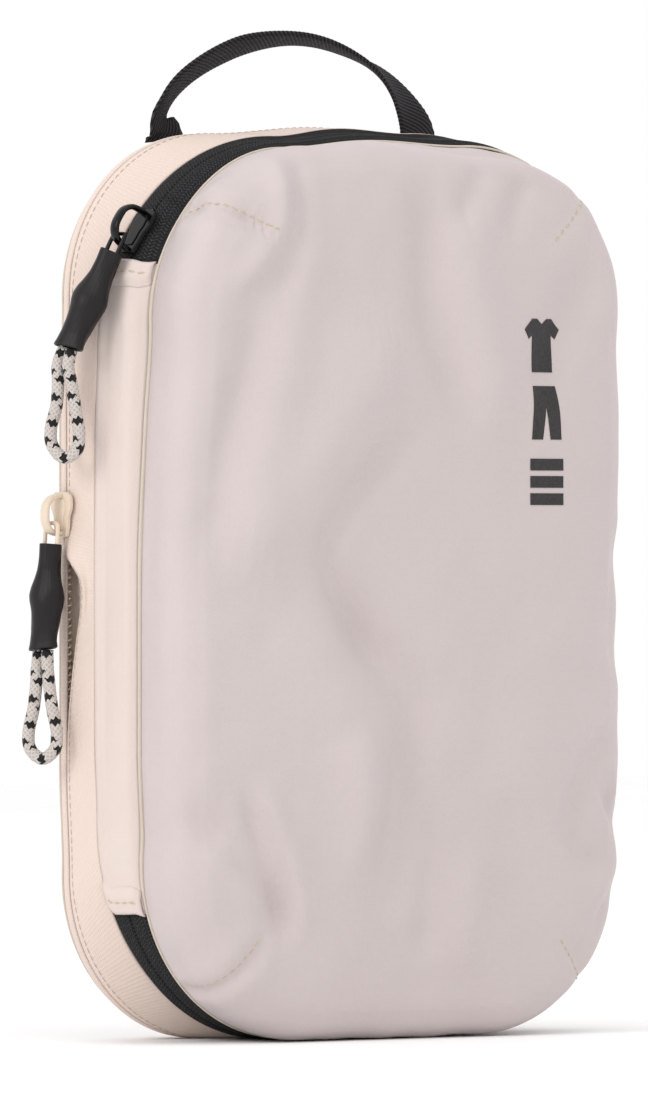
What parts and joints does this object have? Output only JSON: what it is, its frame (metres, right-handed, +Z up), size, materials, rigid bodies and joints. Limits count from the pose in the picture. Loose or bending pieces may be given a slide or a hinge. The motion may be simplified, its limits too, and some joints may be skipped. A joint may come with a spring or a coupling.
{
  "type": "packing cube",
  "caption": "Soft upright packing cube with a wrap-round zipped front lid, a second zip that lets the depth expand, cord zip pulls and a webbing grab handle.",
  "frame": {"origin": "middle of the flat underside that the cube stands on, on the front half of the compression band", "axes": "+X to the right seen from the front, +Y from the front panel to the back panel, +Z up"},
  "size_m": [0.1903, 0.0713, 0.2919],
  "materials": {
    "shell_fabric": "thin pale pinkish-grey ripstop nylon, slightly sheer, soft wrinkles",
    "spine_fabric": "cream woven nylon strip, plain weave",
    "gusset_fabric": "thin cream ripstop nylon, folded away inside",
    "binding_tape": "cream polyester binding tape",
    "black_zip_tape": "black knitted zip tape, fine ribs",
    "cream_zip_tape": "cream knitted zip tape with close cross ribs",
    "black_webbing": "black woven webbing, diagonal twill ribs",
    "black_zip_coil": "black nylon coil teeth",
    "cream_zip_coil": "cream nylon coil teeth",
    "black_slider": "glossy black enamelled slider and wire link",
    "cream_slider": "satin cream enamelled slider and wire link",
    "pull_sleeve": "black shrunk rubbery sleeve, soft sheen",
    "pull_cord": "braided cord, cream with black flecks"
  },
  "bodies": {
    "middle": {"main_tape_rear": "black_zip_tape", "main_coil_rear": "black_zip_coil", "main_zip_stop_upper": "black_zip_coil", "main_zip_stop_lower": "black_zip_coil", "spine_rear": "spine_fabric", "zip_end_tab_upper": "spine_fabric", "zip_end_tab_lower": "spine_fabric", "middle_seam_binding": "binding_tape", "compression_tape_front": "cream_zip_tape", "compression_coil_front": "cream_zip_coil", "compression_stop_front": "cream_zip_coil", "gusset_front_leg": "gusset_fabric"},
    "lid": {"front_panel": "shell_fabric", "front_seam_binding": "binding_tape", "main_tape_front": "black_zip_tape", "main_tape_front_end": "black_zip_tape", "main_coil_front": "black_zip_coil", "main_coil_front_end": "black_zip_coil", "spine_front": "spine_fabric"},
    "rear": {"compression_tape_rear": "cream_zip_tape", "compression_coil_rear": "cream_zip_coil", "compression_stop_rear": "cream_zip_coil", "gusset_rear_tuck": "gusset_fabric", "gusset_rear_leg": "gusset_fabric", "back_seam_binding": "binding_tape", "back_panel": "shell_fabric"},
    "handle": {"handle_webbing": "black_webbing"},
    "main_slider": {"main_slider": "black_slider"},
    "main_pull": {"main_pull_link": "black_slider", "main_pull_sleeve": "pull_sleeve", "main_pull_cord": "pull_cord"},
    "compression_slider": {"compression_slider": "cream_slider"},
    "compression_pull": {"compression_pull_link": "cream_slider", "compression_pull_sleeve": "pull_sleeve", "compression_pull_cord": "pull_cord"}
  },
  "joints": [
    {"name": "lid_hinge", "type": "hinge", "parent": "middle", "child": "lid", "pos_m": [-0.0855, -0.015, 0.1305], "axis": [0, 0, -1], "range_deg": [0, 105], "deforming": ["main_tape_front_end", "main_coil_front_end"]},
    {"name": "expansion", "type": "slide", "parent": "middle", "child": "rear", "axis": [0, 1, 0], "range_m": [0, 0.044], "deforming": ["gusset_front_leg"]},
    {"name": "handle_fold", "type": "hinge", "parent": "rear", "child": "handle", "pos_m": [0, 0.0129, 0.2607], "axis": [-1, 0, 0], "range_deg": [-30, 80]},
    {"name": "main_slider_travel", "type": "hinge", "parent": "middle", "child": "main_slider", "pos_m": [-0.028, -0.015, 0.2026], "axis": [0, 1, 0], "range_deg": [0, 50]},
    {"name": "main_pull_swing", "type": "hinge", "parent": "main_slider", "child": "main_pull", "pos_m": [-0.08377, -0.015, 0.23088], "axis": [0, 1, 0], "range_deg": [0, 100]},
    {"name": "compression_slider_travel", "type": "slide", "parent": "middle", "child": "compression_slider", "axis": [0, 0, 1], "range_m": [-0.062, 0.01]},
    {"name": "compression_pull_swing", "type": "hinge", "parent": "compression_slider", "child": "compression_pull", "pos_m": [-0.0936, 0.004, 0.1484], "axis": [0, 1, 0], "range_deg": [0, 100]}
  ]
}
